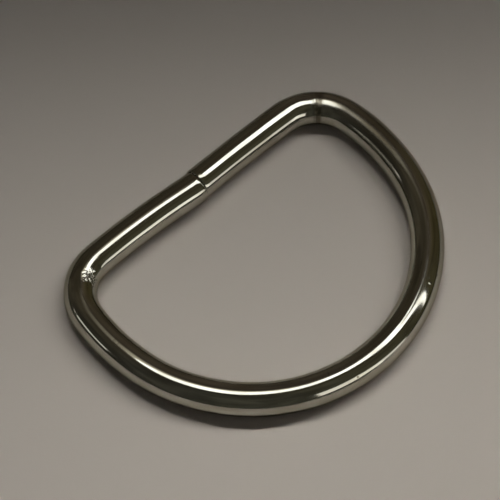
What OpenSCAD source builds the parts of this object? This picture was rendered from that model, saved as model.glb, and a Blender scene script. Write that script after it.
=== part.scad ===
// D ring bent from one round wire, lying flat on its side.
// The straight bar lies along X at the back, and the bow reaches towards -Y.
// The wire's two ends meet in a plain, unwelded butt joint in the bar.
// Origin: middle of the ring's outer box, on the surface that the ring lies on.

/* [Wire] */
// Diameter of the round wire
wire_d = 5.3; // [3:0.1:7]
// Rounding of the edge round each cut end of the wire
end_edge_r = 0.45; // [0.1:0.05:1]

/* [Bow] */
// Clear width inside the bow, where it is widest
inside_w = 50.8; // [40:0.2:60]
// Clear depth from the bar to the top of the bow
inside_h = 36.15; // [30:0.05:46]
// Radius of the flatter shoulders between crown and corners, on the wire's centre line
shoulder_r = 35.8; // [31:0.1:50]
// Angle above the bow's widest place at which the crown goes over into the shoulders
shoulder_angle = 10; // [2:1:20]

/* [Corners] */
// Radius on the inside of the bends between the bar and the bow
corner_inside_r = 5.6; // [3:0.1:9]

/* [Bar] */
// Distance of the butt joint from the bar's middle, towards the right corner
joint_offset = 0.75; // [-5:0.05:5]
// Hairline gap between the two wire ends
joint_gap = 0.12; // [0.05:0.01:0.6]
// How far the left wire end is pushed in towards the bow
left_end_in = 0.48; // [0.1:0.01:1]
// How far the right wire end is pushed in towards the bow
right_end_in = 0.24; // [0.1:0.01:1]
// Radius of the slight arch in the left half of the bar
left_arch_r = 150; // [80:5:500]
// Radius of the slight arch in the right half of the bar
right_arch_r = 370; // [80:5:500]
// Radius of the short bend that brings each end back square to the joint
end_bend_r = 20; // [12:1:40]

/* [Hidden] */
$fn = 96;
nickel = [0.72, 0.72, 0.69];
wire_r = wire_d / 2;
half_w = inside_w / 2 + wire_r;
corner_r = corner_inside_r + wire_r;
// The crown is centred on X = 0 and meets the shoulders without a kink
crown_r = shoulder_r - (shoulder_r - half_w) / cos(shoulder_angle);
crown_c = [0, inside_h + wire_d - crown_r];
shoulder_c = crown_c - (shoulder_r - crown_r) * heading(shoulder_angle);
// Straight bit of wire at each end, long enough for its rounded edge
end_straight = 2 * end_edge_r;
// The metal's core where two stretches meet, well inside the wire's surface
core_r = 0.6 * wire_r;
// Middle of the outer box, front to back
box_mid_y = (inside_h + wire_d) / 2;
// Bearings are rounded to this many steps in a degree, and places split into this many in a mm
bearing_steps = 10000;
place_steps = 100;
quarter_turn = 90;
half_turn = 2 * quarter_turn;

// The unit vector that points along a bearing in degrees
function heading(bearing) = [cos(bearing), sin(bearing)];

// The rounded bearing of q as seen from p
function bearing(p, q) =
    round(atan2(q[1] - p[1], q[0] - p[0]) * bearing_steps) / bearing_steps;

// The point that lies r1 from a and r2 from b, on the left of the way from a to b
function crossing(a, r1, b, r2) =
    let (gap = norm(b - a))
    let (along = (r1 * r1 - r2 * r2 + gap * gap) / (2 * gap))
    let (aside = sqrt(r1 * r1 - along * along))
    let (way = (b - a) / gap)
    a + along * way + aside * [-way[1], way[0]];

// Moves the children to a place in two steps, a coarse one and the rest, to keep every digit
module at(place) {
    coarse = [for (v = place) round(v * place_steps) / place_steps];
    translate(coarse)
        translate(place - coarse)
            children();
}

// A stretch of the wire, bent round a centre from one bearing to a larger one
module wire_arc(centre, bend_r, from, to) {
    at([centre[0], centre[1], wire_r])
        rotate_extrude(angle = to - from, start = from)
            at([bend_r, 0, 0])
                circle(r = wire_r);
}

// The metal's core where two arcs meet, which holds them together
module core(centre, bend_r, from) {
    meeting = centre + bend_r * heading(from);
    at([meeting[0], meeting[1], wire_r])
        sphere(r = core_r);
}

// The last straight bit of the wire, with a flat end face towards -X and a rounded edge.
// Its core reaches back through the end bend into the arch.
module wire_end(root, core_l) {
    at([root[0], root[1], wire_r])
        rotate([0, -quarter_turn, 0])
            rotate_extrude()
                union() {
                    translate([0, -core_l])
                        square([core_r, core_l + end_edge_r]);
                    square([wire_r - end_edge_r, end_straight]);
                    square([wire_r, end_straight - end_edge_r]);
                    translate([wire_r - end_edge_r, end_straight - end_edge_r])
                        circle(r = end_edge_r);
                }
}

// One side of the ring, from the crown round the corner to its wire end.
// The aims give the shape, and each arc then starts exactly where the one before it ends.
module side(end_x, end_in, arch_r) {
    bend_aim = [end_x + end_straight, end_in - end_bend_r];
    arch_aim_x = bend_aim[0] + sqrt(end_in * (2 * (arch_r + end_bend_r) - end_in));
    arch_aim = [arch_aim_x, arch_r];
    corner_aim = crossing(arch_aim, arch_r - corner_r, shoulder_c, shoulder_r - corner_r);
    shoulder_from = bearing(shoulder_c, corner_aim);
    corner_from = bearing(arch_aim, corner_aim);
    arch_from = bearing(arch_aim, bend_aim);
    corner_c = shoulder_c + (shoulder_r - corner_r) * heading(shoulder_from);
    arch_c = corner_c - (arch_r - corner_r) * heading(corner_from);
    bend_c = arch_c + (arch_r + end_bend_r) * heading(arch_from);
    bend_from = bend_c - end_bend_r * heading(arch_from);
    bend_to = bend_c + [0, end_bend_r];
    core(crown_c, crown_r, shoulder_angle);
    wire_arc(shoulder_c, shoulder_r, shoulder_from, shoulder_angle);
    core(corner_c, corner_r, shoulder_from);
    wire_arc(corner_c, corner_r, corner_from, shoulder_from);
    core(corner_c, corner_r, corner_from);
    wire_arc(arch_c, arch_r, arch_from, corner_from);
    wire_arc(bend_c, end_bend_r, arch_from + half_turn, quarter_turn);
    wire_end(bend_to, norm(bend_to - bend_from) + core_r);
}

// The whole ring: the crown of the bow and a side on each hand, turned bow to the front
module wire_ring() {
    color(nickel)
        rotate([0, 0, half_turn])
            translate([0, -box_mid_y, 0])
                union() {
                    wire_arc(crown_c, crown_r, shoulder_angle, half_turn - shoulder_angle);
                    side(-joint_offset + joint_gap / 2, left_end_in, left_arch_r);
                    mirror([1, 0, 0])
                        side(joint_offset + joint_gap / 2, right_end_in, right_arch_r);
                }
}

wire_ring();
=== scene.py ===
"""D ring bent from one round, nickel-plated wire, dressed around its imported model.

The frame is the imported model's: metres, Z up, the ring lying on the floor at Z = 0, the
straight bar along X at the back and the bow reaching towards -Y.
"""
import math
from collections import namedtuple

import bpy
import numpy as np
from mathutils import Matrix, Vector


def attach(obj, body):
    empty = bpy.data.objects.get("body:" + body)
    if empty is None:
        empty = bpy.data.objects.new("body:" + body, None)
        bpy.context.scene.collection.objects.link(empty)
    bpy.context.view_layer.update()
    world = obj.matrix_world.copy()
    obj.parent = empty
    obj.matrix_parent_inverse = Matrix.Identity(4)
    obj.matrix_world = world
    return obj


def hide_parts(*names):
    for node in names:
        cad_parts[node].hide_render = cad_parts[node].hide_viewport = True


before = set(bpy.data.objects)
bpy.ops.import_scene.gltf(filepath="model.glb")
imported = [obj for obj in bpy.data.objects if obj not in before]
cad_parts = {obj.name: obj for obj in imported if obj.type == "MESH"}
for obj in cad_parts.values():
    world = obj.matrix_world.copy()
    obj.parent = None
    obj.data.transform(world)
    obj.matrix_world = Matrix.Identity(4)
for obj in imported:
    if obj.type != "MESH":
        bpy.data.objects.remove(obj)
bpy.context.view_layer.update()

MM = 0.001
HALF_TURN, FULL_TURN = 180, 360

# The ring's sizes, the same as in the part's source
WIRE_D = 5.3 * MM
END_EDGE_R = 0.45 * MM
INSIDE_W = 50.8 * MM
INSIDE_H = 36.15 * MM
SHOULDER_R = 35.8 * MM
SHOULDER_ANGLE = math.radians(10)
CORNER_INSIDE_R = 5.6 * MM
JOINT_OFFSET = 0.75 * MM
JOINT_GAP = 0.12 * MM
LEFT_END_IN = 0.48 * MM
RIGHT_END_IN = 0.24 * MM
LEFT_ARCH_R = 150 * MM
RIGHT_ARCH_R = 370 * MM
END_BEND_R = 20 * MM

WIRE_R = WIRE_D / 2
HALF_W = INSIDE_W / 2 + WIRE_R
CORNER_R = CORNER_INSIDE_R + WIRE_R
CROWN_R = SHOULDER_R - (SHOULDER_R - HALF_W) / math.cos(SHOULDER_ANGLE)
END_STRAIGHT = 2 * END_EDGE_R
BOX_MID_Y = (INSIDE_H + WIRE_D) / 2

# The cut ends' rounded edges, a little longer along the wire than they are deep
EDGE_LENGTH = 0.4 * MM
EDGE_DEPTH = 0.13 * MM

# How finely the wire's skin is divided
SIDES = 160
COARSE_STEP = 0.4 * MM
FINE_STEP = 0.08 * MM
EDGE_STEPS = 12
FACE_STEPS = 3
ROUTE_STEP = 0.02 * MM
# Stretches with a finer skin, in mm along the wire
FINE_SPANS = [(23.4, 27.3), (38.3, 39.8), (73.7, 74.4), (77.4, 78.2), (96.6, 99.3), (137.4, 139.0)]
# Each bend goes over into the next over about this length of wire
BEND_BLEND = 2.4 * MM
# The wire's centre line: the distances along it, its points and its headings, closely spaced
Route = namedtuple("Route", "along points heads")
# The skin turns plain towards the underside: how far below the wire's middle this begins, and
# over what height, both in wire radii
UNDERSIDE_FROM, UNDERSIDE_BLEND = 0.75, 0.2

# A small mark in the skin: its place in mm along the wire from the left end, its angle in
# degrees round the wire (0 is outward, 90 is up), its half length in mm, its half width in
# degrees, and how far it stands out in mm
Mark = namedtuple("Mark", "place angle half_length half_turn rise")
MARKS = [
    # The tool mark right across the right bend, and the low lip beside it
    Mark(138.05, 90, 0.46, 400, -0.055),
    Mark(138.75, 90, 0.30, 400, 0.012),
    # Nicks and small raised spots
    Mark(39.45, 83, 0.08, 11, -0.004),
    Mark(38.55, 84, 0.12, 9, -0.003),
    Mark(74.05, 98, 0.10, 7, -0.020),
    Mark(77.80, 44, 0.16, 5, -0.018),
    Mark(97.00, 62, 0.16, 5, 0.012),
    Mark(97.60, 70, 0.12, 4, -0.012),
    Mark(98.90, 44, 0.15, 5, 0.012),
    Mark(100.0, 108, 0.30, 3, -0.008),
    Mark(27.80, 63, 0.45, 3, 0.010),
    Mark(31.00, 48, 0.22, 3, 0.012),
    # Long, shallow scratches
    Mark(110.3, 100, 1.60, 2, -0.004),
    Mark(55.20, 64, 1.20, 2, -0.004),
    Mark(12.40, 112, 1.50, 2, -0.003),
    Mark(150.6, 121, 1.30, 2, -0.003),
]
# Where the bending tool pressed the two bends a little flatter, and one slight ridge beside that
FLATS = [
    Mark(139.9, 104, 3.6, 25, -0.085),
    Mark(136.0, 111, 2.8, 24, -0.11),
    Mark(23.2, 96, 2.8, 16, 0.05),
    Mark(26.1, 86, 1.3, 24, -0.08),
]
# Where the plating is painted dull and brownish: painted shade inside the right bend, and tarnish
# on the far bow. Here the last number is how much, not a rise.
TARNISH_AND_PAINTED_SHADE = [
    # Painted shade: darkens the inside of the right bend, where the floor next to it lies in shade
    Mark(137.6, 160, 2.8, 40, 0.35),
    # Tarnish on the far bow
    Mark(124.5, 140, 7.0, 14, 0.8),
    Mark(126.0, 99, 8.0, 23, 1.1),
]

# The wrinkled skin inside the left bend: its middle and half size, in mm along the wire and in
# degrees round it, and how sharply it ends
WRINKLE_PLACE, WRINKLE_HALF = 25.7, 1.2
WRINKLE_ANGLE, WRINKLE_HALF_TURN = 130, 36
WRINKLE_END_POWER = 1.6
# The faint line that runs on from the wrinkles: where it lies, in mm along the wire and in degrees
# round it, its height and half width in mm, and over how many mm it begins and ends
CREASE = [(24.4, 88), (26.5, 90), (28.0, 92), (30.8, 97), (34.5, 101)]
CREASE_RISE, CREASE_HALF = 0.016, 0.12
CREASE_FADE_IN, CREASE_FADE_OUT = 1.2, 4

# Many small waves in the skin: their shortest and longest wavelength in mm, how many there are,
# how steep they are together, and the seed of their directions
Waves = namedtuple("Waves", "shortest longest count slope seed")
UNEVENNESS = Waves(5, 16, 14, 0.0035, 3)
WRINKLES = Waves(0.35, 0.7, 60, 0.36, 285)

# How worn the wrinkles are, the depth in mm at which a mark is worn through and how worn it
# gets at most, and the height at which the faint line would be worn through
WRINKLE_WEAR = 0.2
MARK_WORN_DEPTH, MARK_MOST_WEAR = 0.02, 0.75
CREASE_WORN_RISE = 0.04

# Cloudy noise: how fine it is per metre in three directions, its detail and its distortion.
# On the wire the directions are across it, up and along it, as if it were straight.
Noise = namedtuple("Noise", "fineness detail distortion")
DRAWING_LINES = Noise((5200, 5200, 170), 3, 0)
HAZE = Noise((420, 420, 190), 4, 0.5)
GRAINS = Noise((4200, 4200, 4200), 2, 0)
ROOM_CLOUDS = Noise((3.2, 3.2, 1.1), 5, 0.6)
# Each of these takes values between its first two numbers to values between its last two
HAZE_DULLS = (0.42, 0.7, 0, 1)
LINES_DULL = (0.45, 0.75, 0, 0.45)
HAZE_ROUGHENS = (0.35, 0.7, 0.055, 0.12)
CLOUDS_BRIGHTEN = (0.32, 0.68, 0.6, 1.45)

BRIGHT_NICKEL = (0.52, 0.515, 0.455, 1)
DULL_NICKEL = (0.43, 0.415, 0.345, 1)
# The worn colour also paints shade inside the right bend
WORN_AND_SHADED_NICKEL = (0.13, 0.112, 0.075, 1)
GLANCING_TINT = (0.35, 0.32, 0.27, 1)
# How far wear and painted shade turn the plating to its worn colour, and how much rougher they
# make it
WORN_AND_SHADED_SHARE, WORN_ROUGHNESS = 0.9, 0.16
# The depths of the drawing lines and of the worn spots' grain, in metres
LINE_DEPTH, GRAIN_DEPTH = 1.2e-6, 1.6e-5

# The photograph's view: a point on the floor, and the camera's place round it
AIM = Vector((0.05, 7.08, 0)) * MM
CAMERA_DISTANCE = 390.6 * MM
CAMERA_AZIMUTH = math.radians(-43.625)
CAMERA_ELEVATION = math.radians(59.18)
CAMERA_ROLL = math.radians(1.507)
CAMERA_NEAREST = 0.01
# The focal length in pixels of the photograph, and the photograph's width in pixels
FOCAL_PIXELS, PHOTO_WIDTH = 2476.5, 500
SENSOR_WIDTH = 36
LENS = FOCAL_PIXELS / PHOTO_WIDTH * SENSOR_WIDTH

FLOOR_SIZE = 6.0
FLOOR_COLOUR = (0.62, 0.565, 0.505, 1)
FLOOR_ROUGHNESS = 0.85

# The dim room's colour towards some azimuths, as metal shows it (0 is towards -Y, 90 towards +X)
ROOM_TONES = [
    (-180, (0.05, 0.042, 0.029)),
    (-100, (0.04, 0.038, 0.031)),
    (-35, (0.062, 0.06, 0.048)),
    (30, (0.058, 0.054, 0.037)),
    (90, (0.046, 0.038, 0.018)),
    (130, (0.078, 0.063, 0.048)),
    (158, (0.04, 0.034, 0.023)),
    (180, (0.05, 0.042, 0.029)),
]

# The ceiling's height above the floor
CEILING = 0.5
# The ceiling light's outline, with each corner given as the slope of the way to it from the ring
LEFT_END = [(-0.1, 0.112), (-0.155, 0.214), (-0.138, 0.26), (-0.096, 0.317)]
BACK_EDGE = [(-0.016, 0.343), (0.116, 0.334), (0.219, 0.3), (0.3, 0.24)]
BACK_CORNER = [(0.36, 0.21), (0.41, 0.26), (0.45, 0.3), (0.5, 0.27)]
TUBE = [(0.5, 0.07), (0.609, -0.02), (2.15, -1.518), (2.073, -1.597), (0.639, -0.203)]
FRONT_EDGE = [(0.554, -0.225), (0.466, -0.235), (0.377, -0.12), (0.287, -0.063), (0.181, -0.029)]
NEAR_EDGE = [(0.079, 0.01), (-0.025, 0.046)]
CEILING_OUTLINE = LEFT_END + BACK_EDGE + BACK_CORNER + TUBE + FRONT_EDGE + NEAR_EDGE
CEILING_COLOUR, CEILING_STRENGTH = (1, 1, 1), 2.4
# The faint light on the ceiling behind it: where it is brightest, how bright, and where it ends
FRINGE_START = LEFT_END[1:] + BACK_EDGE
FRINGE_BRIGHTNESS = [0.7, 0.7, 0.7, 0.85, 1.0, 1.1, 1.1]
FRINGE_END = [
    (-0.3, 0.22), (-0.3, 0.3), (-0.2, 0.42), (-0.08, 0.56), (0.12, 0.6), (0.33, 0.58), (0.45, 0.46)
]
FRINGE_COLOUR, FRINGE_STRENGTH = (1, 0.92, 0.76), 0.95
# A panel's light goes with this power of the fade value at its points
FADE_POWER = 3

# A window's name, the azimuths and elevations of its corners, its colour and its strength
Window = namedtuple("Window", "name corners colour strength")
WINDOW_DISTANCE = 2.0
WINDOWS = [
    Window("window_a", [(-10, 9), (8, 9), (8, 28), (-10, 30)], (1, 0.95, 0.9), 1.25),
    Window(
        "window_b",
        [(8, 9), (15, 8), (18, 5), (22, 5), (22, 19), (15, 25), (8, 28)],
        (1, 0.97, 0.92),
        1.5,
    ),
    Window("window_c", [(22, 5), (36, 1), (36, 9), (22, 21)], (1, 0.95, 0.9), 0.98),
    Window(
        "small_window_a",
        [(-137, 15), (-131.5, 15), (-131.5, 23), (-137, 23)],
        (1, 0.95, 0.95),
        0.85,
    ),
    Window(
        "small_window_b",
        [(-128.5, 14), (-109.5, 14), (-109.5, 21.5), (-128.5, 21.5)],
        (0.97, 0.98, 0.97),
        0.75,
    ),
]

LAMP_COLOUR = (1, 0.985, 0.96)
# The lamps for the floor lie in a row on the ceiling along this level direction, which passes
# the ring at this slope. Each has a name, its slope along the row and its power in watts.
ROW_WAY = Vector((0.801, -0.599, 0))
ROW_SLOPE = 0.3
ROW_LAMP_SIZE = (0.34, 0.03)
ROW_LAMP_SPREAD = math.radians(25)
ROW_LAMPS = [("tube_near", 0.0, 0.0345), ("tube_middle", 0.5, 0.0305), ("tube_far", 1.05, 0.0275)]
# The middle of the pool of light that they throw on the floor
POOL_MIDDLE = Vector((0.0195, -0.066, 0))
# The soft light of the room, which shines all round
ROOM_LAMP_PLACE = Vector((-0.9, -0.9, 1.5))
ROOM_LAMP_SIZE = (2.7, 2.7)
ROOM_LAMP_SPREAD = math.pi
ROOM_LAMP_POWER = 1.7

# The numbers of the colour mixing node's sockets
MIX_COLOUR_A, MIX_COLOUR_B, MIX_COLOUR_OUT = 6, 7, 2


def heading(angle):
    """The unit vector that points along a bearing."""
    return np.array([math.cos(angle), math.sin(angle)])


def bearing(p, q):
    """The bearing of q as seen from p."""
    return math.atan2(q[1] - p[1], q[0] - p[0])


def crossing(a, r1, b, r2):
    """The point that lies r1 from a and r2 from b, on the left of the way from a to b."""
    gap = math.dist(a, b)
    along = (r1 * r1 - r2 * r2 + gap * gap) / (2 * gap)
    aside = math.sqrt(r1 * r1 - along * along)
    way = (b - a) / gap
    return a + along * way + aside * np.array([-way[1], way[0]])


def side_bends(end_x, end_in, arch_r):
    """Length and curvature of each stretch of one side, from its wire end to the crown."""
    crown_c = np.array([0, INSIDE_H + WIRE_D - CROWN_R])
    shoulder_c = crown_c - (SHOULDER_R - CROWN_R) * heading(SHOULDER_ANGLE)
    bend_c = np.array([end_x + END_STRAIGHT, end_in - END_BEND_R])
    arch_x = bend_c[0] + math.sqrt(end_in * (2 * (arch_r + END_BEND_R) - end_in))
    arch_c = np.array([arch_x, arch_r])
    corner_c = crossing(arch_c, arch_r - CORNER_R, shoulder_c, SHOULDER_R - CORNER_R)
    shoulder_from = bearing(shoulder_c, corner_c)
    corner_from = bearing(arch_c, corner_c)
    arch_from = bearing(arch_c, bend_c)
    return [
        (END_STRAIGHT, 0),
        (END_BEND_R * (-math.pi / 2 - arch_from), -1 / END_BEND_R),
        (arch_r * (corner_from - arch_from), 1 / arch_r),
        (CORNER_R * (shoulder_from - corner_from), 1 / CORNER_R),
        (SHOULDER_R * (SHOULDER_ANGLE - shoulder_from), 1 / SHOULDER_R),
    ]


def wire_bends():
    """Length and curvature of each stretch of the wire, from its left end to its right end."""
    left = side_bends(-JOINT_OFFSET + JOINT_GAP / 2, LEFT_END_IN, LEFT_ARCH_R)
    right = side_bends(JOINT_OFFSET + JOINT_GAP / 2, RIGHT_END_IN, RIGHT_ARCH_R)
    crown = (CROWN_R * (math.pi - 2 * SHOULDER_ANGLE), 1 / CROWN_R)
    return left + [crown] + right[::-1]


def blended(curvature):
    """The curvatures of closely spaced places, with each bend going over into the next."""
    reach = round(BEND_BLEND / ROUTE_STEP)
    # The weights at the two ends are zero, so there are two more of them
    weights = np.hanning(reach + 1 + 2)
    padded = np.pad(curvature, reach, mode="edge")
    return np.convolve(padded, weights / weights.sum(), mode="same")[reach:-reach]


def wire_route():
    """The wire's route from its left end round the bow to its right end."""
    bends = wire_bends()
    ends = np.cumsum([length for length, _ in bends])
    along = np.linspace(0, ends[-1], round(ends[-1] / ROUTE_STEP) + 1)
    step = along[1]
    bend_no = np.searchsorted(ends[:-1], along[:-1] + step / 2)
    curvature = blended(np.array([k for _, k in bends])[bend_no])
    turned = np.append(0, np.cumsum(curvature) * step)
    heads = math.pi + turned * 2 * math.pi / turned[-1]
    between = (heads[1:] + heads[:-1]) / 2
    moves = np.column_stack([np.cos(between), np.sin(between)]) * step
    start = np.array([JOINT_OFFSET - JOINT_GAP / 2, BOX_MID_Y - LEFT_END_IN])
    end = np.array([JOINT_OFFSET + JOINT_GAP / 2, BOX_MID_Y - RIGHT_END_IN])
    points = start + np.vstack([[0, 0], np.cumsum(moves, axis=0)])
    points += np.outer(along / along[-1], end - points[-1])
    return Route(along, points, heads)


def stations(length):
    """Places along the wire between its rounded ends, closer together where it is marked."""
    stops = [EDGE_LENGTH] + [v * MM for span in FINE_SPANS for v in span] + [length - EDGE_LENGTH]
    places = []
    for i, (start, end) in enumerate(zip(stops, stops[1:])):
        step = FINE_STEP if i % 2 else COARSE_STEP
        places.extend(np.linspace(start, end, round((end - start) / step), endpoint=False))
    return places + [stops[-1]]


def skin_rings(length):
    """Distance s along the wire and radius of each ring of the skin, end faces included."""
    body = [(s, WIRE_R) for s in stations(length)]
    turn = np.linspace(0, math.pi / 2, EDGE_STEPS + 1)[:-1]
    flat_r = WIRE_R - EDGE_DEPTH
    edge = [(EDGE_LENGTH * (1 - math.cos(a)), flat_r + EDGE_DEPTH * math.sin(a)) for a in turn]
    face = [(0, flat_r * k / (FACE_STEPS + 1)) for k in range(1, FACE_STEPS + 1)]
    end = face + edge
    return np.array(end + body + [(length - s, r) for s, r in end[::-1]])


def turned_from(angle, middle):
    """How far an angle in degrees lies from another, from -180 to 180."""
    return (angle - middle + HALF_TURN) % FULL_TURN - HALF_TURN


def patch(place, angle):
    """How much the skin is wrinkled, from 0 to 1, at places in mm and angles in degrees."""
    lengthwise = (place - WRINKLE_PLACE) / WRINKLE_HALF
    crosswise = turned_from(angle, WRINKLE_ANGLE) / WRINKLE_HALF_TURN
    return np.exp(-((lengthwise**2 + crosswise**2) ** WRINKLE_END_POWER))


def waves(place, angle, kind):
    """A smooth uneven surface made of many waves that close up round the wire, in mm."""
    rng = np.random.default_rng(kind.seed)
    rise = 0 * (place + angle)
    for _ in range(kind.count):
        steepness = 2 * math.pi / rng.uniform(kind.shortest, kind.longest)
        way = rng.uniform(0, math.pi)
        turns = round(steepness * math.cos(way) * WIRE_R / MM)
        phase = rng.uniform(0, 2 * math.pi)
        ripple = np.cos(steepness * math.sin(way) * place + turns * np.radians(angle) + phase)
        rise = rise + kind.slope / steepness * math.sqrt(2 / kind.count) * ripple
    return rise


def crease(place, angle):
    """The faint line along the top of the left bend, in mm."""
    places, angles = zip(*CREASE)
    turned = turned_from(angle, np.interp(place, places, angles))
    aside = turned * math.pi / HALF_TURN * WIRE_R / MM
    fade_in = np.clip((place - places[0]) / CREASE_FADE_IN, 0, 1)
    fade_out = np.clip((places[-1] - place) / CREASE_FADE_OUT, 0, 1)
    return CREASE_RISE * (fade_in * fade_out) * np.exp(-((aside / CREASE_HALF) ** 2))


def spots(marks, place, angle):
    """How far some marks stand out of each place on the skin, in mm."""
    rise = 0 * (place + angle)
    for mark in marks:
        lengthwise = (place - mark.place) / mark.half_length
        crosswise = turned_from(angle, mark.angle) / mark.half_turn
        rise = rise + mark.rise * np.exp(-(lengthwise**2) - crosswise**2)
    return rise


def skin_rise(place, angle):
    """How far the skin stands out from the plain round wire, in mm."""
    uneven = waves(place, angle, UNEVENNESS)
    crumpled = waves(place, angle, WRINKLES) * patch(place, angle)
    return uneven + crumpled + crease(place, angle) + spots(MARKS + FLATS, place, angle)


def skin_wear_and_shade(place, angle):
    """How dull and worn the plating is, from 0 to 1, with painted shade inside the right bend as
    well.
    """
    marked = np.abs(spots(MARKS, place, angle)) / MARK_WORN_DEPTH
    worn = WRINKLE_WEAR * patch(place, angle) + np.minimum(marked, MARK_MOST_WEAR)
    worn = worn + crease(place, angle) / CREASE_WORN_RISE
    return np.clip(worn + spots(TARNISH_AND_PAINTED_SHADE, place, angle), 0, 1)


def skin_depth(s, radius, angle):
    """How far each of the skin's points lies from the wire's centre line."""
    underside = np.clip((-np.sin(angle) - UNDERSIDE_FROM) / UNDERSIDE_BLEND, 0, 1)
    on_skin = (radius >= WIRE_R)[:, None] * (1 - underside)
    return radius[:, None] + skin_rise(s[:, None] / MM, np.degrees(angle)) * on_skin * MM


def bent_points(route, s, depth, angle):
    """The skin's points round the bent wire, ring by ring, and one in each end face's middle."""
    x, y, head = (np.interp(s, route.along, v) for v in (*route.points.T, route.heads))
    centre = np.column_stack([x, y, 0 * x + WIRE_R])
    out = np.column_stack([np.sin(head), -np.cos(head), 0 * head])
    normal = np.cos(angle)[:, None] * out[:, None] + np.sin(angle)[:, None] * [0, 0, 1]
    skin = (centre[:, None] + depth[..., None] * normal).reshape(-1, 3)
    return np.vstack([skin, [*route.points[0], WIRE_R], [*route.points[-1], WIRE_R]])


def straight_points(s, depth, angle):
    """The same points on the straight wire, given as how far they lie across, up and along."""
    across = (depth * np.cos(angle)).ravel()
    up = (depth * np.sin(angle)).ravel()
    skin = np.column_stack([across, up, np.repeat(s, SIDES)])
    return np.vstack([skin, [0, 0, 0], [0, 0, s[-1]]])


def skin_faces(rows):
    """The skin's faces, ring by ring, with a fan of triangles at each end face."""
    faces = []
    for i in range(rows - 1):
        for j in range(SIDES):
            k = (j + 1) % SIDES
            faces.append((i * SIDES + j, (i + 1) * SIDES + j, (i + 1) * SIDES + k, i * SIDES + k))
    first, last, end_row = rows * SIDES, rows * SIDES + 1, (rows - 1) * SIDES
    for j in range(SIDES):
        k = (j + 1) % SIDES
        faces.append((first, j, k))
        faces.append((last, end_row + k, end_row + j))
    return faces


def keep_values(mesh, name, kind, values):
    """Stores a number or a vector with each point of a mesh."""
    layer = mesh.attributes.new(name, kind, "POINT")
    field = "vector" if kind == "FLOAT_VECTOR" else "value"
    layer.data.foreach_set(field, np.array(values, float).ravel())


def ring_mesh(name):
    """The whole wire as one closed skin.

    Its points keep where they would be on the straight wire, and how worn the plating is, painted
    shade inside the right bend included."""
    route = wire_route()
    s, radius = skin_rings(route.along[-1]).T
    angle = (np.arange(SIDES) / SIDES * 2 - 0.5) * math.pi
    depth = skin_depth(s, radius, angle)
    # Wear, with painted shade inside the right bend
    wear_and_shade = skin_wear_and_shade(s[:, None] / MM, np.degrees(angle))
    mesh = bpy.data.meshes.new(name)
    mesh.from_pydata(bent_points(route, s, depth, angle).tolist(), [], skin_faces(len(s)))
    mesh.polygons.foreach_set("use_smooth", [True] * len(mesh.polygons))
    keep_values(mesh, "unbent", "FLOAT_VECTOR", straight_points(s, depth, angle))
    keep_values(mesh, "wear_and_shade", "FLOAT", np.append(wear_and_shade, [0, 0]))
    mesh.update()
    return mesh


class Nodes:
    """Adds shader nodes to a tree and joins them up."""

    def __init__(self, tree):
        self.nodes, self.links = tree.nodes, tree.links

    def put(self, value, socket):
        """Sets a socket to a number or colour, or joins it to an output."""
        if isinstance(value, bpy.types.NodeSocket):
            self.links.new(value, socket)
        else:
            socket.default_value = value

    def noise(self, vector, kind):
        """Cloudy noise at a vector."""
        stretched = self.nodes.new("ShaderNodeVectorMath")
        stretched.operation = "MULTIPLY"
        self.put(vector, stretched.inputs[0])
        self.put(kind.fineness, stretched.inputs[1])
        node = self.nodes.new("ShaderNodeTexNoise")
        self.put(stretched.outputs[0], node.inputs["Vector"])
        self.put(1, node.inputs["Scale"])
        self.put(kind.detail, node.inputs["Detail"])
        self.put(kind.distortion, node.inputs["Distortion"])
        return node.outputs[0]

    def ranged(self, value, numbers):
        """A value taken from one range to another, and kept in it."""
        node = self.nodes.new("ShaderNodeMapRange")
        self.put(value, node.inputs["Value"])
        for name, number in zip(("From Min", "From Max", "To Min", "To Max"), numbers):
            self.put(number, node.inputs[name])
        return node.outputs[0]

    def maths(self, operation, a, b):
        """Two numbers put together."""
        node = self.nodes.new("ShaderNodeMath")
        node.operation = operation
        self.put(a, node.inputs[0])
        self.put(b, node.inputs[1])
        return node.outputs[0]

    def mixed(self, share, a, b):
        """A colour between two others."""
        node = self.nodes.new("ShaderNodeMix")
        node.data_type = "RGBA"
        self.put(share, node.inputs[0])
        self.put(a, node.inputs[MIX_COLOUR_A])
        self.put(b, node.inputs[MIX_COLOUR_B])
        return node.outputs[MIX_COLOUR_OUT]

    def attribute(self, name, output):
        """A value that the mesh's points carry."""
        node = self.nodes.new("ShaderNodeAttribute")
        node.attribute_name = name
        return node.outputs[output]

    def bump(self, height, distance, normal=None):
        """A normal pushed about by a height."""
        node = self.nodes.new("ShaderNodeBump")
        self.put(1, node.inputs["Strength"])
        self.put(distance, node.inputs["Distance"])
        self.put(height, node.inputs["Height"])
        if normal is not None:
            self.put(normal, node.inputs["Normal"])
        return node.outputs[0]


def new_material(name):
    """A material with just a shader, its node tools and that shader."""
    material = bpy.data.materials.new(name)
    material.use_nodes = True
    tree = material.node_tree
    return material, Nodes(tree), tree.nodes["Principled BSDF"]


def nickel_colour(tools, haze, lines, wear_and_shade):
    """The plating's colour, dulled by haze and drawing lines, and brownish where it is worn and
    where shade is painted inside the right bend.
    """
    clouded = tools.mixed(tools.ranged(haze, HAZE_DULLS), BRIGHT_NICKEL, DULL_NICKEL)
    lined = tools.mixed(tools.ranged(lines, LINES_DULL), clouded, DULL_NICKEL)
    return tools.mixed(tools.maths("MULTIPLY", wear_and_shade, WORN_AND_SHADED_SHARE), lined, WORN_AND_SHADED_NICKEL)


def nickel_roughness(tools, haze, wear_and_shade):
    """The plating's roughness, which grows with haze, wear and the painted shade inside the right
    bend.
    """
    hazy = tools.ranged(haze, HAZE_ROUGHENS)
    return tools.maths("ADD", hazy, tools.maths("MULTIPLY", wear_and_shade, WORN_ROUGHNESS))


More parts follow.
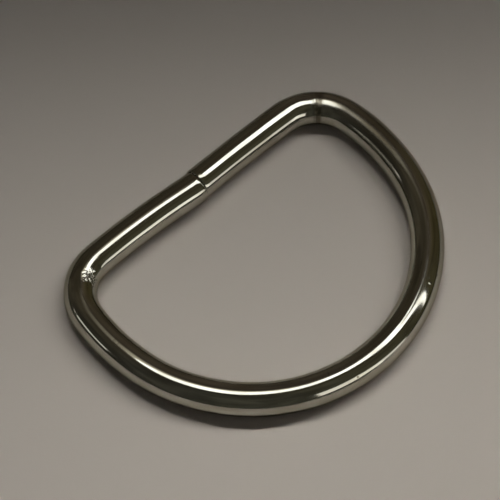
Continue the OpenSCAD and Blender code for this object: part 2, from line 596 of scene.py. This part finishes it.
def nickel_plate():
    """Bright nickel plate over drawn steel wire, with haze, fine lines, worn spots and painted
    shade inside the right bend.
    """
    material, tools, shader = new_material("nickel_plate")
    unbent = tools.attribute("unbent", "Vector")
    wear_and_shade = tools.attribute("wear_and_shade", "Fac")
    lines = tools.noise(unbent, DRAWING_LINES)
    haze = tools.noise(unbent, HAZE)
    grains = tools.maths("MULTIPLY", tools.noise(unbent, GRAINS), wear_and_shade)
    normal = tools.bump(grains, GRAIN_DEPTH, tools.bump(lines, LINE_DEPTH))
    tools.put(nickel_colour(tools, haze, lines, wear_and_shade), shader.inputs["Base Color"])
    tools.put(nickel_roughness(tools, haze, wear_and_shade), shader.inputs["Roughness"])
    tools.put(normal, shader.inputs["Normal"])
    tools.put(1, shader.inputs["Metallic"])
    tools.put(GLANCING_TINT, shader.inputs["Specular Tint"])
    return material


def floor_finish():
    """A plain pale floor."""
    material, tools, shader = new_material("floor")
    tools.put(FLOOR_COLOUR, shader.inputs["Base Color"])
    tools.put(FLOOR_ROUGHNESS, shader.inputs["Roughness"])
    return material


def glow(name, colour, strength):
    """The finish of a light panel, which fades out with its points' fade value."""
    material, tools, _ = new_material(name)
    tools.nodes.clear()
    shine = tools.nodes.new("ShaderNodeEmission")
    tools.put((*colour, 1), shine.inputs["Color"])
    fading = tools.maths("POWER", tools.attribute("fade", "Fac"), FADE_POWER)
    tools.put(tools.maths("MULTIPLY", fading, strength), shine.inputs["Strength"])
    clear = tools.nodes.new("ShaderNodeBsdfTransparent")
    both = tools.nodes.new("ShaderNodeAddShader")
    tools.put(shine.outputs[0], both.inputs[0])
    tools.put(clear.outputs[0], both.inputs[1])
    out = tools.nodes.new("ShaderNodeOutputMaterial")
    tools.put(both.outputs[0], out.inputs["Surface"])
    return material


def add_object(name, mesh, material):
    """A shown object made of a mesh and a material."""
    thing = bpy.data.objects.new(name, mesh)
    bpy.context.scene.collection.objects.link(thing)
    mesh.materials.append(material)
    return thing


def panel(name, corners, colour, strength, faces=None, fades=None):
    """A light panel that shows in the metal, but lights nothing else and is hidden from view."""
    mesh = bpy.data.meshes.new(name)
    mesh.from_pydata(corners, [], faces or [range(len(corners))])
    keep_values(mesh, "fade", "FLOAT", fades or [1] * len(corners))
    thing = add_object(name, mesh, glow(name, colour, strength))
    thing.visible_camera = False
    thing.visible_diffuse = False


def overhead(slopes):
    """Corners on the ceiling, each given as the slope of the way to it from the ring."""
    return [(x * CEILING, y * CEILING, CEILING) for x, y in slopes]


def direction(azimuth, elevation):
    """The way from the ring at some angles. Azimuth 0 is towards -Y, and 90 degrees towards +X."""
    flat = math.cos(elevation)
    return Vector((math.sin(azimuth) * flat, -math.cos(azimuth) * flat, math.sin(elevation)))


def upright(corners):
    """Corners far off in the room, each given as its azimuth and elevation in degrees."""
    return [direction(*map(math.radians, corner)) * WINDOW_DISTANCE for corner in corners]


def add_floor():
    """The plain floor that the ring lies on."""
    half = FLOOR_SIZE / 2
    mesh = bpy.data.meshes.new("floor")
    corners = [(-half, -half, 0), (half, -half, 0), (half, half, 0), (-half, half, 0)]
    mesh.from_pydata(corners, [], [(0, 1, 2, 3)])
    add_object("floor", mesh, floor_finish())


def add_camera():
    """The camera at the photograph's place."""
    back = direction(CAMERA_AZIMUTH, CAMERA_ELEVATION)
    camera = bpy.data.objects.new("camera", bpy.data.cameras.new("camera"))
    bpy.context.scene.collection.objects.link(camera)
    camera.data.sensor_width = SENSOR_WIDTH
    camera.data.lens = LENS
    camera.data.clip_start = CAMERA_NEAREST
    level = (-back).to_track_quat("-Z", "Y").to_matrix()
    turn = level @ Matrix.Rotation(CAMERA_ROLL, 3, "Z")
    camera.matrix_world = Matrix.Translation(AIM + back * CAMERA_DISTANCE) @ turn.to_4x4()
    bpy.context.scene.camera = camera


def room_tone(tools, way):
    """The dim room's colour along a way, which goes by its azimuth."""
    parts = tools.nodes.new("ShaderNodeSeparateXYZ")
    tools.put(way, parts.inputs[0])
    forward = tools.maths("MULTIPLY", parts.outputs["Y"], -1)
    azimuth = tools.maths("ARCTAN2", parts.outputs["X"], forward)
    ramp = tools.nodes.new("ShaderNodeValToRGB")
    tools.put(tools.ranged(azimuth, (-math.pi, math.pi, 0, 1)), ramp.inputs[0])
    stops = ramp.color_ramp.elements
    for i, (degrees, colour) in enumerate(ROOM_TONES):
        place = (degrees + HALF_TURN) / FULL_TURN
        stop = stops[i] if i < len(stops) else stops.new(place)
        stop.position = place
        stop.color = (*colour, 1)
    return ramp.outputs["Color"]


def add_room():
    """The dim, cloudy room round the ring, as metal shows it."""
    world = bpy.data.worlds.new("room")
    bpy.context.scene.world = world
    world.use_nodes = True
    tools = Nodes(world.node_tree)
    surround = tools.nodes["Background"]
    way = tools.nodes.new("ShaderNodeTexCoord").outputs["Generated"]
    clouds = tools.noise(way, ROOM_CLOUDS)
    tools.put(room_tone(tools, way), surround.inputs["Color"])
    tools.put(tools.ranged(clouds, CLOUDS_BRIGHTEN), surround.inputs["Strength"])
    world.cycles_visibility.diffuse = False


def add_ceiling_light():
    """The ceiling light with its tube, and the faint light on the ceiling behind it."""
    panel("ceiling_light", overhead(CEILING_OUTLINE), CEILING_COLOUR, CEILING_STRENGTH)
    count = len(FRINGE_START)
    corners = overhead(FRINGE_START + FRINGE_END)
    faces = [(i, i + 1, count + i + 1, count + i) for i in range(count - 1)]
    fades = FRINGE_BRIGHTNESS + [0] * count
    panel("ceiling_edge", corners, FRINGE_COLOUR, FRINGE_STRENGTH, faces, fades)


def add_windows():
    """The window low in front of the ring in three parts, and the small one behind it in two."""
    for name, corners, colour, strength in WINDOWS:
        panel(name, upright(corners), colour, strength)


def add_lamp(name, place, target, size, spread, power):
    """A soft light for the floor that doesn't show in the metal, its long side along the row."""
    lamp = bpy.data.lights.new(name, "AREA")
    lamp.shape = "RECTANGLE"
    lamp.size, lamp.size_y = size
    lamp.energy = power
    lamp.color = LAMP_COLOUR
    lamp.spread = spread
    thing = bpy.data.objects.new(name, lamp)
    bpy.context.scene.collection.objects.link(thing)
    back = (place - target).normalized()
    long_side = (ROW_WAY - back * ROW_WAY.dot(back)).normalized()
    turn = Matrix((long_side, back.cross(long_side), back)).transposed()
    thing.matrix_world = Matrix.Translation(place) @ turn.to_4x4()
    thing.visible_glossy = False
    thing.visible_camera = False


def add_lamps():
    """A row of lamps that throws a long pool of light on the floor, and the room's soft light."""
    aside = Vector((-ROW_WAY.y, ROW_WAY.x, 0)) * ROW_SLOPE
    for name, slope_along, power in ROW_LAMPS:
        place = (aside + ROW_WAY * slope_along + Vector((0, 0, 1))) * CEILING
        add_lamp(name, place, POOL_MIDDLE, ROW_LAMP_SIZE, ROW_LAMP_SPREAD, power)
    size, spread = ROOM_LAMP_SIZE, ROOM_LAMP_SPREAD
    add_lamp("room_light", ROOM_LAMP_PLACE, Vector((0, 0, 0)), size, spread, ROOM_LAMP_POWER)


def main():
    """Builds the ring, its room and the view."""
    bpy.context.scene.view_settings.view_transform = "Standard"
    add_camera()
    add_floor()
    add_room()
    add_ceiling_light()
    add_windows()
    add_lamps()
    ring = add_object("ring", ring_mesh("ring"), nickel_plate())
    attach(ring, "root")
    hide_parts("wire_ring")


main()
